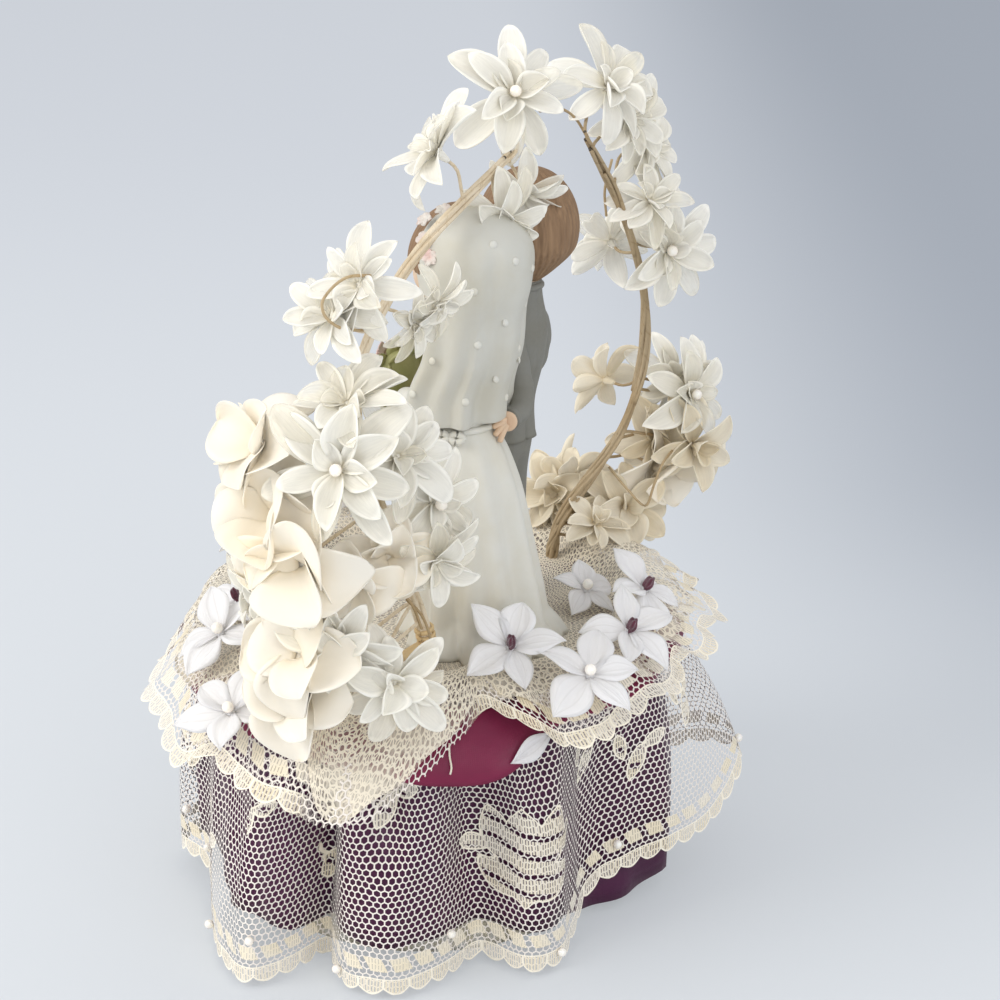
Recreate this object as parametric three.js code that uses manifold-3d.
// Wedding cake topper: a bride and groom under a wired arch of fabric flowers, on a pedestal
// dressed with lace and satin skirts. Millimetres, +Z up, table at Z = 0 under the pedestal's axis.
// The couple faces -Y, with the bride on the +X side.

import * as THREE from "three";
import { mergeVertices } from "three/addons/utils/BufferGeometryUtils.js";
import Module from "manifold-3d";

const wasm = await Module();
wasm.setup();

// Clearances
const seatGap = 0.3; // between pieces that touch
const layerGap = 0.5; // between layers of cloth at the waistband
const drillGap = 0.6; // round a wire in its hole

// Pedestal: a foam core under a covered board
const deckHeight = 74;
const deckRadius = 54;
const deckThickness = 3;
const coreInset = 7.5; // foam inside the deck's rim
const coreChamfer = 2;

// Cloth
const clothThickness = 0.8;
const laceHem = 1.4; // hem above the table where it isn't lifted
const underskirtInset = 2.2; // satin inside the lower lace at its hem
const underskirtHem = 11;
const underskirtShare = 0.84; // how far the satin follows the lace's folds
const underskirtLimit = 13; // satin's hem outside the deck where the lace is lifted away
const satinDrop = 1.5; // satin's band below the deck's top
const ruffleLap = 7; // ruffle's inner edge inside the deck's rim
const ruffleRise = 3.2;

// Couple
const brideX = 8;
const brideY = 18;
const groomX = -17.5;
const groomY = 16;
const headSwing = 1.2; // groom's head behind his body's axis
const groomTaller = 3.5; // groom's neck above the bride's
const groomLean = 5; // groom's legs ahead of his shoulders
const gownHemWidth = 16.5;
const gownHemDepth = 18;
const trainSweep = 6.5; // gown's hem behind the bride's axis
const waistHeight = 54;
const waistRadius = 8.4;
const bustRadius = 9.4;
const shoulderHeight = 74;
const neckRadius = 4;
const neckLength = 5;
const headRadius = 10.6;
const headTall = 12.6;
const hairThickness = 1.4;
const veilThickness = 1.4;
const veilHem = 56.7;
const veilHemWidth = 13;
const veilHemDepth = 10.6;
const veilSway = 3.5; // veil's hem ahead of its axis and its crown behind it
const veilOpen = 4; // front edge of the veil ahead of the bride's axis
const sleeveRadius = 3.3;
const handRadius = 2.3;
const shoeHeight = 5;
const shoeLength = 12;
const shoeWidth = 6.5;
const jacketHem = 42;
const hipWidth = 8;
const chestWidth = 8.4;
const torsoDepth = 6;
const bouquetRadius = 8.5;
const bouquetDrop = 12; // bouquet's middle below the shoulders

// Arch
const tableUnit = 1; // one unit in the tables of wires, flowers and hems
const wireRadius = 1.5;
const stemRadius = 0.55;
const legDepth = 10; // wire pushed down through the deck
const petalThickness = 0.7;
const calyxRadius = 1.3;
const calyxLength = 3.2;
const pearlRadius = 1.6;

// Colours
const white = { color: 0xe6e4dc, roughness: 0.75, metalness: 0 };
const organza = { color: 0xefefea, roughness: 0.6, metalness: 0 };
const cream = { color: 0xeee6d0, roughness: 0.65, metalness: 0 };
const lace = { color: 0xe4ddca, roughness: 0.85, metalness: 0 };
const plumSatin = { color: 0x4c2535, roughness: 0.4, metalness: 0 };
const wineSatin = { color: 0x762540, roughness: 0.35, metalness: 0 };
const wineFelt = { color: 0x622b3c, roughness: 0.8, metalness: 0 };
const tape = { color: 0xd1c5b0, roughness: 0.9, metalness: 0 };
const bisque = { color: 0xdcdcd6, roughness: 0.6, metalness: 0 };
const skin = { color: 0xc7ae95, roughness: 0.6, metalness: 0 };
const brown = { color: 0x8b7359, roughness: 0.65, metalness: 0 };
const grey = { color: 0x92918b, roughness: 0.7, metalness: 0 };
const green = { color: 0x666334, roughness: 0.7, metalness: 0 };
const black = { color: 0x3a3834, roughness: 0.5, metalness: 0 };
const pearl = { color: 0xece3d2, roughness: 0.2, metalness: 0.1 };
const plastic = { color: 0xe8e6e0, roughness: 0.45, metalness: 0 };

const topper = new THREE.Group();

function add(name, geometry, finish) {
  const mesh = new THREE.Mesh(geometry, new THREE.MeshStandardMaterial(finish));
  mesh.name = name;
  topper.add(mesh);
  return mesh;
}

// Solids
function solid(geometry) {
  const bare = new THREE.BufferGeometry();
  bare.setAttribute("position", geometry.getAttribute("position").clone());
  if (geometry.index) bare.setIndex(geometry.index.clone());
  const merged = mergeVertices(bare, 1e-4);
  const mesh = new wasm.Mesh({
    numProp: 3,
    vertProperties: new Float32Array(merged.attributes.position.array),
    triVerts: new Uint32Array(merged.index.array),
  });
  return new wasm.Manifold(mesh);
}

function geometryOf(body) {
  const mesh = body.getMesh();
  const geometry = new THREE.BufferGeometry();
  geometry.setAttribute("position", new THREE.BufferAttribute(mesh.vertProperties, 3));
  geometry.setIndex(new THREE.BufferAttribute(mesh.triVerts, 1));
  geometry.computeVertexNormals();
  return geometry;
}

function fromFaces(points, faces) {
  const geometry = new THREE.BufferGeometry();
  geometry.setAttribute("position", new THREE.Float32BufferAttribute(points.flat(), 3));
  geometry.setIndex(faces);
  geometry.computeVertexNormals();
  return geometry;
}

// A closed skin over rings of points, each ring running anticlockwise seen from the last ring.
function loft(rings) {
  const sides = rings[0].length;
  const points = rings.flat();
  const faces = [];
  for (let row = 0; row + 1 < rings.length; row++) {
    for (let i = 0; i < sides; i++) {
      const a = row * sides + i;
      const b = row * sides + ((i + 1) % sides);
      faces.push(a, b, b + sides, a, b + sides, a + sides);
    }
  }
  const last = (rings.length - 1) * sides;
  for (const [start, turned] of [[0, true], [last, false]]) {
    const ring = points.slice(start, start + sides);
    const middle = [0, 1, 2].map((k) => ring.reduce((sum, p) => sum + p[k], 0) / sides);
    const hub = points.push(middle) - 1;
    for (let i = 0; i < sides; i++) {
      const a = start + i;
      const b = start + ((i + 1) % sides);
      faces.push(...(turned ? [hub, b, a] : [hub, a, b]));
    }
  }
  return fromFaces(points, faces);
}

// Upright form from rows of [height, half width, half depth, shift back], with optional flutes.
function upright(x, y, rows, sides, flutes = 0, fluteDepth = () => 0) {
  return loft(
    rows.map(([z, wide, deep, back = 0]) =>
      Array.from({ length: sides }, (_, i) => {
        const turn = (2 * Math.PI * i) / sides;
        const swell = 1 + (fluteDepth(z) * Math.cos(flutes * turn)) / wide;
        return [x + wide * swell * Math.cos(turn), y + back + deep * swell * Math.sin(turn), z];
      }),
    ),
  );
}

// Tapered limb along a curve through points, with a radius at each point.
function limb(points, radii, sides = 8, steps = 8) {
  const curve = new THREE.CatmullRomCurve3(points.map((p) => new THREE.Vector3(...p)));
  const frames = curve.computeFrenetFrames(steps, false);
  const rings = [];
  for (let row = 0; row <= steps; row++) {
    const at = (row / steps) * (radii.length - 1);
    const low = Math.min(Math.floor(at), radii.length - 2);
    const radius = THREE.MathUtils.lerp(radii[low], radii[low + 1], at - low);
    const middle = curve.getPointAt(row / steps);
    rings.push(
      Array.from({ length: sides }, (_, i) => {
        const turn = (2 * Math.PI * i) / sides;
        return middle
          .clone()
          .addScaledVector(frames.normals[row], radius * Math.cos(turn))
          .addScaledVector(frames.binormals[row], radius * Math.sin(turn))
          .toArray();
      }),
    );
  }
  return loft(rings);
}

function ellipsoid(centre, half, sides = 14, rows = 10) {
  const ball = new THREE.SphereGeometry(1, sides, rows).rotateX(Math.PI / 2);
  return ball.scale(...half).translate(...centre);
}

function rod(curve, radius, sides, steps) {
  const section = new THREE.Shape();
  for (let i = 0; i < sides; i++) {
    const turn = (2 * Math.PI * i) / sides;
    const spot = [radius * Math.cos(turn), radius * Math.sin(turn)];
    if (i) section.lineTo(...spot);
    else section.moveTo(...spot);
  }
  return new THREE.ExtrudeGeometry(section, { extrudePath: curve, steps, bevelEnabled: false });
}

// Cloth ring: a sheet round the pedestal's axis, given by place(degrees, share) -> [radius, height].
function clothRing(place, around, rows) {
  const share = (row) => row / (rows - 1);
  const spot = (degrees, s) => {
    const [radius, z] = place(degrees, s);
    const turn = THREE.MathUtils.degToRad(degrees);
    return new THREE.Vector3(radius * Math.cos(turn), radius * Math.sin(turn), z);
  };
  const upper = [];
  const lower = [];
  for (let i = 0; i < around; i++) {
    const degrees = (360 * i) / around;
    for (let row = 0; row < rows; row++) {
      const s = share(row);
      const along = spot(degrees + 0.2, s).sub(spot(degrees - 0.2, s));
      const down = spot(degrees, Math.min(1, s + 0.01)).sub(spot(degrees, Math.max(0, s - 0.01)));
      const out = down.cross(along).normalize().multiplyScalar(clothThickness / 2);
      const middle = spot(degrees, s);
      upper.push(middle.clone().add(out).toArray());
      lower.push(middle.clone().sub(out).toArray());
    }
  }
  const count = around * rows;
  const faces = [];
  const quad = (a, b, c, d) => faces.push(a, b, c, a, c, d);
  for (let i = 0; i < around; i++) {
    const here = i * rows;
    const next = ((i + 1) % around) * rows;
    for (let row = 0; row + 1 < rows; row++) {
      quad(here + row, here + row + 1, next + row + 1, next + row);
      quad(count + here + row, count + next + row, count + next + row + 1, count + here + row + 1);
    }
    const end = rows - 1;
    quad(here, next, count + next, count + here);
    quad(here + end, count + here + end, count + next + end, next + end);
  }
  return fromFaces([...upper, ...lower], faces);
}

// Hem: a smooth closed curve through rows of [degrees, value, ...]
function hemThrough(rows) {
  const turned = (row, by) => [row[0] + by, ...row.slice(1)];
  const before = rows.slice(-2).map((row) => turned(row, -360));
  const after = rows.slice(0, 2).map((row) => turned(row, 360));
  const ring = [...before, ...rows, ...after];
  return (degrees) => {
    const angle = rows[0][0] + THREE.MathUtils.euclideanModulo(degrees - rows[0][0], 360);
    const i = ring.findIndex((row) => row[0] > angle) - 1;
    const [a, b, c, d] = ring.slice(i - 1, i + 3);
    const span = c[0] - b[0];
    const t = (angle - b[0]) / span;
    return b.slice(1).map((value, index) => {
      const k = index + 1;
      const rise = ((c[k] - a[k]) / (c[0] - a[0])) * span;
      const fall = ((d[k] - b[k]) / (d[0] - b[0])) * span;
      const start = (1 + 2 * t) * (1 - t) ** 2 * value + t * (1 - t) ** 2 * rise;
      return tableUnit * (start + t * t * (3 - 2 * t) * c[k] + t * t * (t - 1) * fall);
    });
  };
}

// Wire routes: points on the deck plan with heights above the deck, then above the couple's shoulders
const shoulderLevel = deckHeight + shoulderHeight;
const nearRoute = {
  low: [[29, 25.5, 0], [32, 25.5, 12], [37, 25.5, 24], [45, 26, 42], [53, 26, 61]],
  high: [
    [55, 26, 0], [50.5, 26, 11], [41, 25.5, 20.5], [30, 25.5, 28.5],
    [16, 25.5, 36], [2, 25, 41.5], [-5, 24.5, 44],
  ],
};
const farRoute = {
  low: [
    [-43, 7, 0], [-42, 9, 8], [-46, 11, 15.5], [-55, 13.5, 24],
    [-63, 15, 32.5], [-67, 16.5, 43], [-67.5, 18, 55], [-65.5, 19, 68],
  ],
  high: [[-59, 20, 8.5], [-51, 20.5, 22], [-43, 21, 32], [-35, 22, 41.5]],
};

// A point of a table, with its height above a level
function placed([x, y, z], level) {
  return new THREE.Vector3(x, y, z).multiplyScalar(tableUnit).add(new THREE.Vector3(0, 0, level));
}

function wireCurve({ low, high }) {
  const foot = placed(low[0], deckHeight);
  const points = [
    foot.clone().setZ(deckHeight - legDepth),
    ...low.map((point) => placed(point, deckHeight)),
    ...high.map((point) => placed(point, shoulderLevel)),
  ];
  return new THREE.CatmullRomCurve3(points, false, "centripetal");
}

const wires = { near: wireCurve(nearRoute), far: wireCurve(farRoute) };

// Blind hole for a wire's leg, from above the deck down into the core
function legHole(route) {
  const deep = legDepth + drillGap;
  const high = deckThickness;
  const hole = new THREE.CylinderGeometry(wireRadius + drillGap, wireRadius + drillGap, deep + high, 12);
  const foot = placed(route.low[0], deckHeight + (high - deep) / 2);
  hole.rotateX(Math.PI / 2).translate(...foot);
  return solid(hole);
}

const legHoles = legHole(nearRoute).add(legHole(farRoute));

// Pedestal
const coreTop = deckHeight - deckThickness - seatGap;
const coreRadius = deckRadius - coreInset;
const coreProfile = [
  [0, 0],
  [coreRadius - coreChamfer, 0],
  [coreRadius, coreChamfer],
  [coreRadius, coreTop - coreChamfer],
  [coreRadius - coreChamfer, coreTop],
  [0, coreTop],
].map(([r, z]) => new THREE.Vector2(r, z));
const core = new THREE.LatheGeometry(coreProfile, 36).rotateX(Math.PI / 2);
add("foam_core", geometryOf(solid(core).subtract(legHoles)), plastic);

const board = new THREE.CylinderGeometry(deckRadius, deckRadius, deckThickness, 40);
board.rotateX(Math.PI / 2).translate(0, 0, deckHeight - deckThickness / 2);
add("deck_board", geometryOf(solid(board).subtract(legHoles)), plumSatin);

// Skirts. Lower lace: degrees, reach outside the deck's rim, lift of the hem
const laceEdge = hemThrough([
  [-50, 10, 4], [-40, 4, 4], [-29, 5, 2], [-19, 9, 0], [-5, 17, 0], [4, 20, 0], [8, 12, 0], [11, -1, 0],
  [16, 4, 0], [22, 11, 0], [30, 13, 0], [40, 8, 0], [48, 0, 0], [53, -3, 0], [57, 0, 0], [63, 8, 0],
  [71, 7, 0], [80, 1, 0], [90, -2, 0], [104, 5, 4], [119, 16, 9], [128, 24, 17], [135, 28, 25], [143, 20, 24],
  [152, 5, 16], [164, 12, 7], [172, 15, 3], [186, 0, 0], [196, 9, 0], [205, 15, 0], [218, -1, 0], [230, 10, 0],
  [238, 15, 0], [252, -1, 0], [264, 11, 0], [274, 15, 0], [288, 1, 0], [300, 8, 2],
]);
// Satin and upper ruffle: degrees, reach outside the deck's rim, drop of the edge below the deck's top
const satinEdge = hemThrough([
  [-60, 9, 8], [-20, 10, 9], [10, 12, 12], [30, 13, 15], [40, 13.5, 17], [50, 13.5, 17], [57, 13, 14],
  [64, 11, 9], [75, 10, 7], [130, 10, 7], [190, 10, 8], [250, 10, 8],
]);
const ruffleEdge = hemThrough([
  [-60, 14, 3], [-46, 19, 6], [-34, 16, 3], [-21, 24, 8], [-12, 26, 8], [-4, 32, 12], [5, 30, 10], [13, 34, 14],
  [20, 32, 16], [26, 31, 20], [33, 24, 16], [40, 17, 12], [46, 11, 6], [51, 8, 2], [56, 13, 2], [61, 19, 4],
  [70, 23, 8], [82, 20, 4], [93, 21, 4], [101, 17, 1], [109, 21, 3], [118, 18, 1], [128, 22, 5], [140, 17, 2],
  [152, 22, 6], [164, 16, 2], [176, 22, 5], [190, 17, 2], [202, 23, 6], [214, 16, 2], [226, 22, 5], [240, 17, 2],
  [254, 22, 6], [268, 15, 2], [282, 19, 5],
]);
const bandRadius = deckRadius + seatGap + clothThickness / 2;
const layerStep = clothThickness + layerGap;
const bandTop = deckHeight - seatGap;
const ruffleInner = deckRadius - ruffleLap;
const satinTop = deckHeight - satinDrop;

function laceAt(degrees, s) {
  const [reach, lift] = laceEdge(degrees);
  const band = bandRadius + layerStep;
  const radius = band + (deckRadius + reach - band) * s;
  return [radius, bandTop - (bandTop - laceHem - lift) * s];
}

function underskirtAt(degrees, s) {
  const reach = Math.min(laceEdge(degrees)[0], underskirtLimit);
  const out = (deckRadius + reach - bandRadius - layerStep) * underskirtShare - underskirtInset;
  return [bandRadius + out * s, bandTop - (bandTop - underskirtHem) * s];
}

function satinAt(degrees, s) {
  const [reach, drop] = satinEdge(degrees);
  const band = bandRadius + 2.2 * layerStep;
  const radius = band + (deckRadius + reach - band) * Math.sin((Math.PI / 2) * s);
  return [radius, satinTop - (drop - satinDrop) * s];
}

const ruffleRows = 4;
const ruffleColumns = 96;
const ruffleSeat = deckHeight + seatGap + clothThickness / 2;

function ruffleAt(degrees, s) {
  const [reach, drop] = ruffleEdge(degrees);
  const radius = ruffleInner + (ruffleLap + reach) * s;
  const rise = ruffleRise * Math.sin(Math.PI * Math.min(1, 1.1 * s));
  return [radius, ruffleSeat + rise - (ruffleSeat - deckHeight + drop) * s ** 2.2];
}

add("underskirt_satin", clothRing(underskirtAt, 120, 3), plumSatin);
add("lower_lace_skirt", clothRing(laceAt, 120, 3), lace);
add("satin_ruffle", clothRing(satinAt, 60, 3), wineSatin);
add("upper_lace_ruffle", clothRing(ruffleAt, ruffleColumns, ruffleRows), lace);

// Height of the board or of the ruffle's facets under x, y.
function clothTop(x, y) {
  const radius = Math.hypot(x, y);
  if (radius < ruffleInner - layerGap) return deckHeight;
  const heightOn = (degrees) => {
    const s = Math.max(0, (radius - ruffleInner) / (ruffleLap + ruffleEdge(degrees)[0])) * (ruffleRows - 1);
    const row = Math.min(Math.floor(s), ruffleRows - 2);
    const height = (k) => ruffleAt(degrees, k / (ruffleRows - 1))[1];
    return THREE.MathUtils.lerp(height(row), height(row + 1), s - row);
  };
  const turn = (THREE.MathUtils.radToDeg(Math.atan2(y, x)) * ruffleColumns) / 360;
  const [low, high] = [Math.floor(turn), Math.ceil(turn)].map((k) => heightOn((360 * k) / ruffleColumns));
  return THREE.MathUtils.lerp(low, high, turn - Math.floor(turn)) + clothThickness / 2;
}

// Couple
const standing = deckHeight + seatGap;
const shoulder = standing + shoulderHeight;
const neckTop = shoulder + neckLength;

function gown(grow) {
  const hem = (share) => [
    share * gownHemWidth + (1 - share) * waistRadius,
    share * gownHemDepth + (1 - share) * waistRadius,
    share ** 1.3 * trainSweep,
  ];
  const rows = [
    [standing - grow, ...hem(1)],
    [standing + 4, ...hem(0.92)],
    [standing + 0.25 * waistHeight, ...hem(0.76)],
    [standing + 0.5 * waistHeight, ...hem(0.6)],
    [standing + 0.7 * waistHeight, ...hem(0.48)],
    [standing + 0.86 * waistHeight, ...hem(0.24)],
    [standing + waistHeight, waistRadius, waistRadius - 1, 0],
    [shoulder - 12, bustRadius, bustRadius - 1.6, 0],
    [shoulder - 3, bustRadius - 0.4, bustRadius - 3, 0],
    [shoulder, 0.5 * (bustRadius + neckRadius), neckRadius + 0.6, 0],
    [neckTop + grow, neckRadius, neckRadius, 0],
  ].map(([z, wide, deep, back]) => [z, wide + grow, deep + grow, back]);
  const flute = (z) => 1.2 * Math.max(0, 1 - (z - standing) / (0.7 * waistHeight));
  return upright(brideX, brideY, rows, 36, 12, flute);
}

function jacket(grow) {
  const rows = [
    [standing + jacketHem - grow, hipWidth - 0.8, torsoDepth - 0.8, -0.6 * groomLean],
    [standing + jacketHem + 9, hipWidth - 1.4, torsoDepth - 1.2, -0.5 * groomLean],
    [shoulder - 12, chestWidth - 0.6, torsoDepth - 0.4, -0.15 * groomLean],
    [shoulder - 3, chestWidth, torsoDepth - 0.6, 0],
    [shoulder, 0.5 * (chestWidth + neckRadius), neckRadius + 1.2, 0],
    [neckTop + groomTaller + grow, neckRadius + 1, neckRadius + 1, 0],
  ].map(([z, wide, deep, back]) => [z, wide + grow, deep + grow, back]);
  return upright(groomX, groomY, rows, 18);
}

const headMiddle = neckTop + seatGap + headTall;
const brideHead = [brideX, brideY - 0.5, headMiddle];
const groomHead = [groomX - 0.7 * headSwing, groomY + headSwing, headMiddle + groomTaller];
const headHalf = [headRadius, headRadius, headTall];

function grown(half, by) {
  return half.map((size) => size + by);
}

function hairMiddle(head) {
  return [head[0], head[1] + 0.5 * hairThickness, head[2] + 0.5 * hairThickness];
}

// Hair: a cap round the head, open over the face and under the chin.
function hairCap(head) {
  const middle = hairMiddle(head);
  const cap = solid(ellipsoid(middle, grown(headHalf, hairThickness)));
  const hollow = solid(ellipsoid(head, grown(headHalf, seatGap)));
  const faceHalf = [0.86 * headRadius, headRadius, 0.92 * headTall];
  const face = solid(ellipsoid([head[0], head[1] - 0.9 * headRadius, head[2] - 0.3 * headTall], faceHalf));
  const below = new THREE.BoxGeometry(4 * headRadius, 4 * headRadius, 2 * headTall);
  below.translate(head[0], head[1], head[2] - 1.55 * headTall);
  return geometryOf(cap.subtract(hollow).subtract(face).subtract(solid(below)));
}

add("bride_gown", gown(0), bisque);
add("bride_head", ellipsoid(brideHead, headHalf), skin);
add("bride_hair", hairCap(brideHead), brown);
add("groom_jacket", jacket(0), grey);
add("groom_head", ellipsoid(groomHead, headHalf), skin);
add("groom_hair", hairCap(groomHead), brown);

const trouserRows = [
  [standing + shoeHeight + seatGap, hipWidth - 1.2, torsoDepth - 1.6, -groomLean],
  [standing + 0.5 * jacketHem, hipWidth - 1.4, torsoDepth - 1.4, -groomLean],
  [standing + jacketHem - seatGap, hipWidth - 1.4, torsoDepth - 1.4, -0.6 * groomLean],
];
const gownBlock = solid(gown(seatGap));
const trousers = solid(upright(groomX, groomY, trouserRows, 18)).subtract(gownBlock);
add("groom_trousers", geometryOf(trousers), grey);
for (const [side, name] of [[-1, "groom_right_shoe"], [1, "groom_left_shoe"]]) {
  const x = groomX + side * (0.5 * shoeWidth + 0.5 * seatGap + 0.3);
  const sole = [
    [standing, 0.5 * shoeWidth, 0.5 * shoeLength],
    [standing + 0.4 * shoeHeight, 0.5 * shoeWidth, 0.5 * shoeLength],
    [standing + shoeHeight, 0.36 * shoeWidth, 0.34 * shoeLength],
  ];
  const shoe = solid(upright(x, groomY - groomLean - 0.22 * shoeLength, sole, 12)).subtract(gownBlock);
  add(name, geometryOf(shoe), black);
}

// Arms: each is one casting with its hand, set against the body it belongs to.
const elbow = shoulder - 15;
const jacketBlock = solid(jacket(seatGap));
const sleeves = [sleeveRadius, sleeveRadius, 0.85 * sleeveRadius, handRadius];
const clearOf = (route) => solid(limb(route, sleeves.map((radius) => radius + seatGap)));
const veilCuts = [];
const bouquetMiddle = [brideX + 2, brideY - bustRadius - 0.62 * bouquetRadius - 2.4, shoulder - bouquetDrop];
const bouquetHalf = [bouquetRadius, 0.6 * bouquetRadius, 0.95 * bouquetRadius];
const bouquetBlock = solid(ellipsoid(bouquetMiddle, grown(bouquetHalf, seatGap)));

for (const [side, name] of [[1, "bride_left_arm"], [-1, "bride_right_arm"]]) {
  const route = [
    [brideX + side * (bustRadius - 1), brideY, shoulder - 3],
    [brideX + side * (bustRadius + 0.6), brideY - 4, elbow + 2],
    [brideX + side * (bustRadius - 1.2), brideY - bustRadius - 0.5, elbow + 0.5],
    [brideX + side * 3.4, brideY - bustRadius - 1.8, elbow - 1],
  ];
  const arm = solid(limb(route, sleeves)).subtract(gownBlock).subtract(bouquetBlock);
  veilCuts.push(clearOf(route));
  add(name, geometryOf(arm), bisque);
}
add("bride_bouquet", ellipsoid(bouquetMiddle, bouquetHalf, 12, 8), green);

const rightRoute = [
  [groomX - chestWidth + 1, groomY, shoulder - 3],
  [groomX - chestWidth - 0.8, groomY - 3, elbow],
  [groomX - hipWidth + 1, groomY - torsoDepth - 3, standing + jacketHem + 9],
  [groomX - 2, groomY - torsoDepth - 3.4, standing + jacketHem + 8],
];
add("groom_right_arm", geometryOf(solid(limb(rightRoute, sleeves)).subtract(jacketBlock)), grey);

const leftRoute = [
  [groomX + chestWidth - 1.6, groomY + 1.5, shoulder - 3],
  [groomX + chestWidth, groomY + 6.5, elbow],
  [groomX + chestWidth + 5, groomY + 10.5, standing + waistHeight + 1],
  [brideX - 0.5 * waistRadius, brideY + waistRadius + 1, standing + waistHeight - 2],
];
const leftArm = solid(limb(leftRoute, sleeves)).subtract(jacketBlock).subtract(gownBlock);
add("groom_left_arm", geometryOf(leftArm), grey);
veilCuts.push(clearOf(leftRoute));

// Veil: a shell over the hair and down the back, open in front.
function veilForm(thick) {
  const over = hairThickness + seatGap + 0.5 + thick;
  const low = thick ? 0 : 3;
  const dome = [0.3, 0.6, 0.82, 0.95].map((share) => {
    const wide = (headRadius + over) * Math.sqrt(1 - share ** 2);
    return [headMiddle + share * (headTall + over), wide, wide, 0.8 * veilSway * (1 - 0.5 * share)];
  });
  const rows = [
    [standing + veilHem - low, veilHemWidth + thick, veilHemDepth + thick, -veilSway],
    [elbow + 4, veilHemWidth - 0.2 + thick, veilHemDepth + thick, -0.8 * veilSway],
    [shoulder - 2, bustRadius + 2.6 + thick, bustRadius + 0.9 + thick, 0.2 * veilSway],
    [headMiddle - 0.5 * headTall, headRadius + over, headRadius + over, 0.7 * veilSway],
    ...dome,
  ];
  const flute = (z) => 0.7 * Math.max(0, (shoulder - z) / (shoulder - standing - veilHem));
  return solid(upright(brideX, brideY + hairThickness, rows, 30, 9, flute));
}

const front = new THREE.BoxGeometry(8 * headRadius, 8 * headRadius, 4 * shoulderHeight);
front.translate(brideX, brideY - veilOpen - 4 * headRadius, shoulder);
const hairBlock = solid(ellipsoid(hairMiddle(brideHead), grown(headHalf, hairThickness + seatGap)));
veilCuts.push(veilForm(0), solid(front), hairBlock, jacketBlock);
const veil = veilCuts.reduce((body, cut) => body.subtract(cut), veilForm(veilThickness));
add("bride_veil", geometryOf(veil), bisque);

// Flowers: [petals, notch share of the radius, cup share of the radius]
const kinds = {
  organza: { petals: 8, notch: 0.6, cup: 0.25, finish: organza },
  cream: { petals: 5, notch: 0.78, cup: 0.35, finish: cream },
  satin: { petals: 5, notch: 0.42, cup: 0.2, finish: white },
};

function facing([azimuth, elevation]) {
  const a = THREE.MathUtils.degToRad(azimuth);
  const e = THREE.MathUtils.degToRad(elevation);
  return new THREE.Vector3(Math.cos(a) * Math.cos(e), Math.sin(a) * Math.cos(e), Math.sin(e));
}

// A lobed, cupped disc whose underside draws down into a calyx that ends at tip.
function bloom(middle, normal, tip, radius, kind) {
  const side = new THREE.Vector3(-normal.y, normal.x, 0.01).normalize();
  const over = normal.clone().cross(side).normalize();
  const perPetal = kind.petals === 5 ? 4 : 2;
  const around = kind.petals * perPetal;
  const place = (turn, reach, height) =>
    middle
      .clone()
      .addScaledVector(side, reach * Math.cos(turn))
      .addScaledVector(over, reach * Math.sin(turn))
      .addScaledVector(normal, height)
      .toArray();
  const row = (share, drop, least) =>
    Array.from({ length: around }, (_, i) => {
      const turn = (2 * Math.PI * i) / around;
      const lobe = 0.5 + 0.5 * Math.cos(kind.petals * turn);
      const reach = least ?? share * radius * (kind.notch + (1 - kind.notch) * lobe);
      return place(turn, reach, kind.cup * radius * share ** 1.6 - drop);
    });
  const rings = [row(0, petalThickness, calyxRadius), row(0.5, petalThickness), row(1, petalThickness)];
  rings.push(row(1, 0), row(0.5, 0));
  const points = rings.flat();
  const faces = [];
  for (let ring = 0; ring + 1 < rings.length; ring++) {
    for (let i = 0; i < around; i++) {
      const a = ring * around + i;
      const b = ring * around + ((i + 1) % around);
      faces.push(a, b, b + around, a, b + around, a + around);
    }
  }
  const foot = points.push(tip.toArray()) - 1;
  const heart = points.push(middle.toArray()) - 1;
  const last = (rings.length - 1) * around;
  for (let i = 0; i < around; i++) {
    const next = (i + 1) % around;
    faces.push(foot, next, i, heart, last + i, last + next);
  }
  return fromFaces(points, faces);
}

function pearlOn(name, middle, normal, finish) {
  const spot = middle.clone().addScaledVector(normal, pearlRadius + seatGap);
  add(name, new THREE.SphereGeometry(pearlRadius, 10, 6).translate(...spot), finish);
}

// Arch flowers: place, facing, radius, kind, wire, share along it and whether a pearl is modelled.
// Heights are above the couple's shoulders for the upper flowers and above the deck for the lower ones.
const upperFlowers = [
  ["top_star_flower", [-7, 22, 58], [45, 30], 14, "organza", "near", 1, true],
  ["top_right_flower", [-49, 18, 50], [80, 35], 13, "organza", "far", 1, false],
  ["right_shoulder_flower", [-67, 17, 32], [95, 20], 11.5, "organza", "far", 0.84, false],
  ["right_upper_flower", [-67, 28, 7], [62, 8], 12.5, "organza", "far", 0.72, false],
  ["right_upper_back_flower", [-66, 8, 6], [235, 10], 11, "organza", "far", 0.7, false],
  ["left_shoulder_flower", [23, 24, 48], [-40, 40], 13, "organza", "near", 0.86, false],
  ["left_hang_flower", [58, 31, 27], [5, 20], 12, "organza", "near", 0.64, false],
  ["left_inner_flower", [37, 34, 17], [95, -15], 9.5, "organza", "near", 0.7, false],
  ["top_drop_flower", [6, 32, 44], [62, -30], 10.5, "organza", "near", 0.93, false],
];
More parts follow.
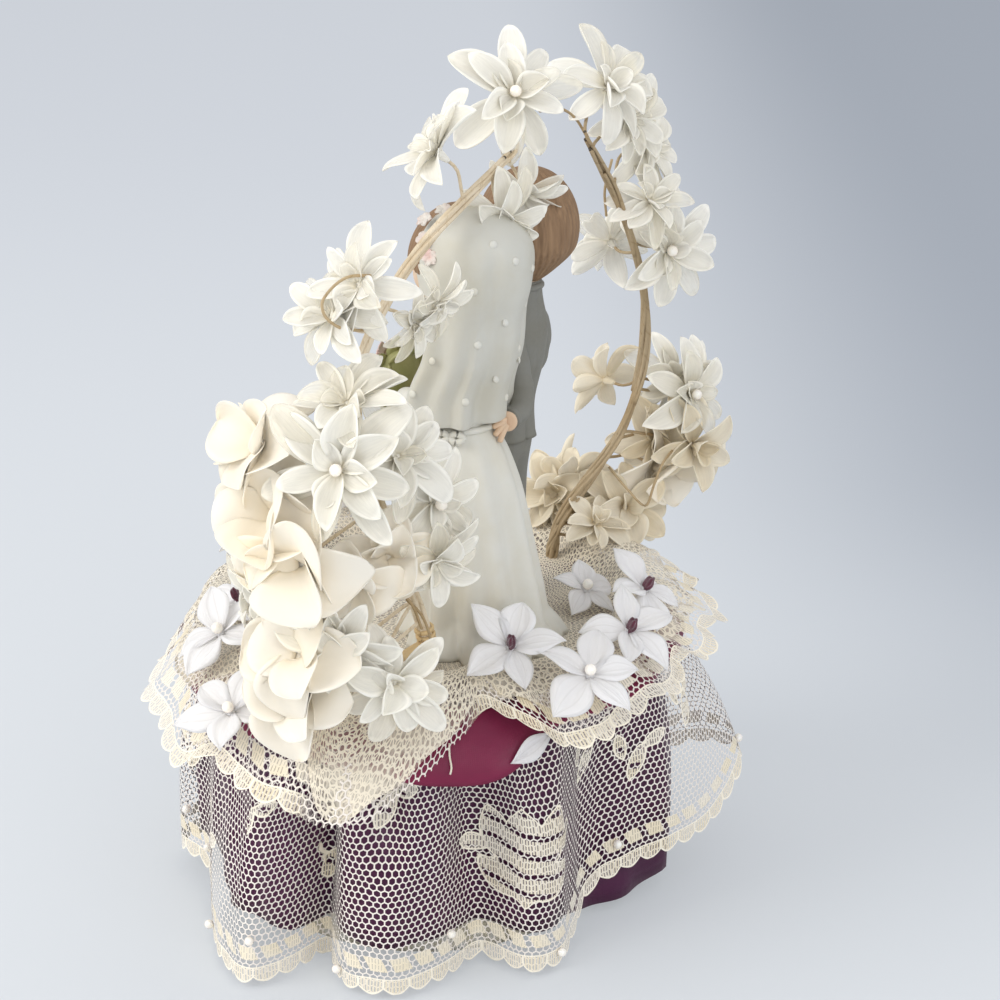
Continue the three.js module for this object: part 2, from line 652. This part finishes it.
const lowerFlowers = [
  ["right_mid_flower", [-83, 26, 38], [80, 8], 14.5, "organza", "far", 0.42, true],
  ["right_mid_inner_flower", [-57, 9, 47], [265, 5], 9.5, "organza", "far", 0.44, false],
  ["right_low_flower", [-74, 17, 19], [85, -8], 15, "cream", "far", 0.28, false],
  ["right_foot_flower", [-58, 2, 15], [250, 25], 12, "organza", "far", 0.16, false],
  ["right_foot_low_flower", [-48, 17, 10], [75, 55], 9, "organza", "far", 0.12, false],
  ["left_star_flower", [71, 36, 64], [22, 20], 16, "organza", "near", 0.5, true],
  ["left_star_low_flower", [43, 38, 49], [72, 5], 11.5, "organza", "near", 0.37, false],
  ["left_cream_flower", [73, 19, 50], [-10, 8], 15, "cream", "near", 0.42, false],
  ["left_cream_low_flower", [63, 32, 35], [25, -20], 11, "cream", "near", 0.31, false],
  ["left_sheer_flower", [66, 8, 29], [-45, 5], 11, "organza", "near", 0.25, false],
  ["low_star_flower", [62, 42, 13], [60, 5], 13, "organza", "near", 0.18, false],
  ["low_pearl_flower", [72, 24, 9], [10, 25], 14, "cream", "near", 0.14, false],
];

const wireBodies = {
  near: solid(rod(wires.near, wireRadius, 7, 26)),
  far: solid(rod(wires.far, wireRadius, 7, 26)),
};

function wiredFlower([name, point, face, size, kindName, wireName, share, beaded], level) {
  const kind = kinds[kindName];
  const middle = placed(point, level);
  const normal = facing(face);
  const tip = middle.clone().addScaledVector(normal, -calyxLength);
  add(name, bloom(middle, normal, tip, size * tableUnit, kind), kind.finish);
  if (beaded) pearlOn(name + "_pearl", middle, normal, pearl);
  const root = wires[wireName].getPointAt(share);
  const end = tip.clone().addScaledVector(normal, -seatGap);
  const bend = end.clone().addScaledVector(normal, -0.4 * end.distanceTo(root));
  const stem = rod(new THREE.QuadraticBezierCurve3(root, bend, end), stemRadius, 5, 4);
  wireBodies[wireName] = wireBodies[wireName].add(solid(stem));
}

upperFlowers.forEach((flower) => wiredFlower(flower, shoulderLevel));
lowerFlowers.forEach((flower) => wiredFlower(flower, deckHeight));
add("near_wire", geometryOf(wireBodies.near), tape);
add("far_wire", geometryOf(wireBodies.far), tape);

// Deck flowers: place on plan, facing, radius and whether the centre is a wine bead
const deckFlowers = [
  ["deck_flower_1", [26, 47], [42, 60], 12, true],
  ["deck_flower_2", [20, 65], [55, 62], 12, false],
  ["deck_flower_3", [0, 62], [85, 60], 11.5, true],
  ["deck_flower_4", [-19, 53], [110, 55], 10.5, false],
  ["deck_flower_5", [-21, 34], [80, 65], 8, false],
  ["deck_flower_6", [78, 7], [10, 60], 11.5, false],
  ["deck_flower_7", [42, -24], [-30, 60], 11, false],
  ["deck_flower_8", [60, -13], [-10, 60], 11, false],
  ["deck_flower_9", [8, -48], [-80, 60], 11, false],
  ["deck_flower_10", [-25, -45], [-120, 62], 10.5, false],
  ["deck_flower_11", [-48, -20], [-160, 60], 11, false],
];

for (const [name, [x, y], face, size, beaded] of deckFlowers) {
  const normal = facing(face);
  const radius = size * tableUnit;
  const tip = placed([x, y, 0], seatGap);
  tip.z += clothTop(tip.x, tip.y);
  const rise = radius * Math.hypot(normal.x, normal.y) + calyxLength - kinds.satin.cup * radius;
  const middle = tip.clone().add(new THREE.Vector3(0, 0, rise));
  add(name, bloom(middle, normal, tip, radius, kinds.satin), white);
  if (beaded) pearlOn(name + "_centre", middle, normal, wineFelt);
}

export default topper;
